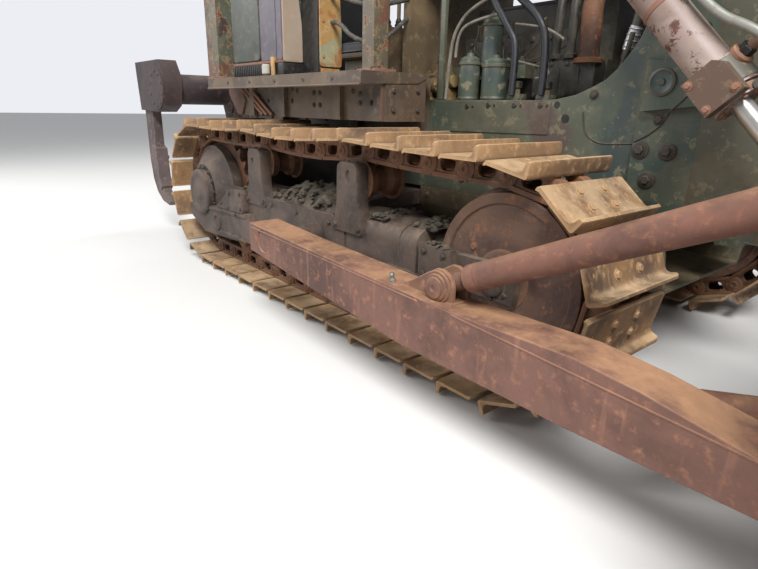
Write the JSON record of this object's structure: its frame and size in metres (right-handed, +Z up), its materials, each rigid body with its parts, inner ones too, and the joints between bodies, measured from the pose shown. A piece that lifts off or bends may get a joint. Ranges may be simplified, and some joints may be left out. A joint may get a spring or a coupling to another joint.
{
  "type": "bulldozer",
  "caption": "Worn crawler bulldozer with a wide straight blade on push arms, lift cylinders, rear ripper and open post canopy.",
  "frame": {"origin": "on the ground under the middle of the machine's overall box", "axes": "+X forward to the blade, +Y to the machine's left, +Z up"},
  "size_m": [5.6576, 3.66, 2.95],
  "materials": {
    "camo_paint": "worn",
    "olive_paint": "dusty",
    "rust_steel": "rusted",
    "track_steel": "rusted and dusty",
    "shoe_steel": "worn and dusty",
    "casting": "dusty",
    "primer": "primer with rust",
    "rod_steel": "dull",
    "engine_iron": "greasy",
    "tan_paint": "faded",
    "seat_cover": "worn",
    "edge_steel": "scoured"
  },
  "bodies": {
    "tractor": {"track_right": "shoe_steel", "track_left": "shoe_steel", "sprockets": "track_steel", "outer_bearings": "casting", "track_frames": "casting", "idlers": "track_steel", "rollers": "track_steel", "rear_case": "casting", "side_frames": "camo_paint", "belly_guard": "olive_paint", "equalizer_bar": "casting", "nose_guard": "camo_paint", "radiator": "olive_paint", "engine": "engine_iron", "fuel_filters": "engine_iron", "exhaust": "rust_steel", "hood": "camo_paint", "controls": "olive_paint", "fenders": "olive_paint", "deck": "olive_paint", "battery_box": "camo_paint", "hydraulic_tank": "camo_paint", "fuel_tank": "camo_paint", "seat": "seat_cover", "canopy_frame": "camo_paint", "canopy_roof": "camo_paint", "ripper_bracket": "rust_steel"},
    "blade_frame": {"push_arms": "rust_steel", "braces": "rust_steel", "blade": "rust_steel", "cutting_edge": "edge_steel"},
    "lift_barrel_right": {"lift_barrel_right": "primer"},
    "lift_rod_right": {"lift_rod_right": "rod_steel"},
    "lift_barrel_left": {"lift_barrel_left": "primer"},
    "lift_rod_left": {"lift_rod_left": "rod_steel"},
    "ripper_arms": {"ripper_arms": "rust_steel"},
    "ripper_links": {"ripper_links": "rust_steel"},
    "ripper_beam": {"ripper_beam": "rust_steel", "ripper_shanks": "rust_steel"},
    "ripper_barrel_right": {"ripper_barrel_right": "primer"},
    "ripper_rod_right": {"ripper_rod_right": "rod_steel"},
    "ripper_barrel_left": {"ripper_barrel_left": "primer"},
    "ripper_rod_left": {"ripper_rod_left": "rod_steel"},
    "battery_lid": {"battery_lid": "camo_paint"},
    "fan": {"fan": "engine_iron"}
  },
  "joints": [
    {"name": "blade_lift", "type": "hinge", "parent": "tractor", "child": "blade_frame", "pos_m": [0.22117, 0, 0.482], "axis": [0, -1, 0], "range_deg": [-7, 19]},
    {"name": "lift_barrel_tilt_right", "type": "hinge", "parent": "tractor", "child": "lift_barrel_right", "pos_m": [1.87617, -0.655, 1.215], "axis": [0, -1, 0], "range_deg": [-15.48, 41.16]},
    {"name": "lift_stroke_right", "type": "slide", "parent": "lift_barrel_right", "child": "lift_rod_right", "axis": [0.6913, 0, -0.7225], "range_m": [-0.461, 0.173]},
    {"name": "lift_barrel_tilt_left", "type": "hinge", "parent": "tractor", "child": "lift_barrel_left", "pos_m": [1.87617, 0.655, 1.215], "axis": [0, -1, 0], "range_deg": [-15.48, 41.16]},
    {"name": "lift_stroke_left", "type": "slide", "parent": "lift_barrel_left", "child": "lift_rod_left", "axis": [0.6913, 0, -0.7225], "range_m": [-0.461, 0.173]},
    {"name": "ripper_swing", "type": "hinge", "parent": "tractor", "child": "ripper_arms", "pos_m": [-1.87883, 0, 0.52], "axis": [0, -1, 0], "range_deg": [-4, 82]},
    {"name": "ripper_beam_pivot", "type": "hinge", "parent": "ripper_arms", "child": "ripper_beam", "pos_m": [-2.16883, 0, 0.83], "axis": [0, -1, 0], "range_deg": [-82.5, 4.5]},
    {"name": "ripper_link_swing", "type": "hinge", "parent": "tractor", "child": "ripper_links", "pos_m": [-1.87883, 0, 0.78], "axis": [0, -1, 0], "range_deg": [-4.5, 82.5]},
    {"name": "ripper_barrel_tilt_right", "type": "hinge", "parent": "tractor", "child": "ripper_barrel_right", "pos_m": [-1.89683, -0.23, 1.4], "axis": [0, -1, 0], "range_deg": [-0.55, 1.61]},
    {"name": "ripper_stroke_right", "type": "slide", "parent": "ripper_barrel_right", "child": "ripper_rod_right", "axis": [-0.1725, 0, -0.985], "range_m": [-0.0166, 0.281]},
    {"name": "ripper_barrel_tilt_left", "type": "hinge", "parent": "tractor", "child": "ripper_barrel_left", "pos_m": [-1.89683, 0.23, 1.4], "axis": [0, -1, 0], "range_deg": [-0.55, 1.61]},
    {"name": "ripper_stroke_left", "type": "slide", "parent": "ripper_barrel_left", "child": "ripper_rod_left", "axis": [-0.1725, 0, -0.985], "range_m": [-0.0166, 0.281]},
    {"name": "battery_lid_hinge", "type": "hinge", "parent": "tractor", "child": "battery_lid", "pos_m": [-0.58883, -0.59, 1.80985], "axis": [-1, 0, 0], "range_deg": [0, 80]},
    {"name": "fan_spin", "type": "hinge", "parent": "tractor", "child": "fan", "pos_m": [1.34117, 0, 1.4], "axis": [1, 0, 0], "continuous": true}
  ],
  "couplings": [
    {"joint": "lift_barrel_tilt_right", "follows": "blade_lift", "ratio": 2.14},
    {"joint": "lift_stroke_right", "follows": "blade_lift", "m_per_rad": -1.3751},
    {"joint": "lift_barrel_tilt_left", "follows": "blade_lift", "ratio": 2.14},
    {"joint": "lift_stroke_left", "follows": "blade_lift", "m_per_rad": -1.3751},
    {"joint": "ripper_beam_pivot", "follows": "ripper_swing", "ratio": -1},
    {"joint": "ripper_link_swing", "follows": "ripper_swing", "ratio": 1},
    {"joint": "ripper_barrel_tilt_right", "follows": "ripper_swing", "ratio": 0.013476},
    {"joint": "ripper_stroke_right", "follows": "ripper_swing", "m_per_rad": 0.19425},
    {"joint": "ripper_barrel_tilt_left", "follows": "ripper_swing", "ratio": 0.013476},
    {"joint": "ripper_stroke_left", "follows": "ripper_swing", "m_per_rad": 0.19425}
  ]
}
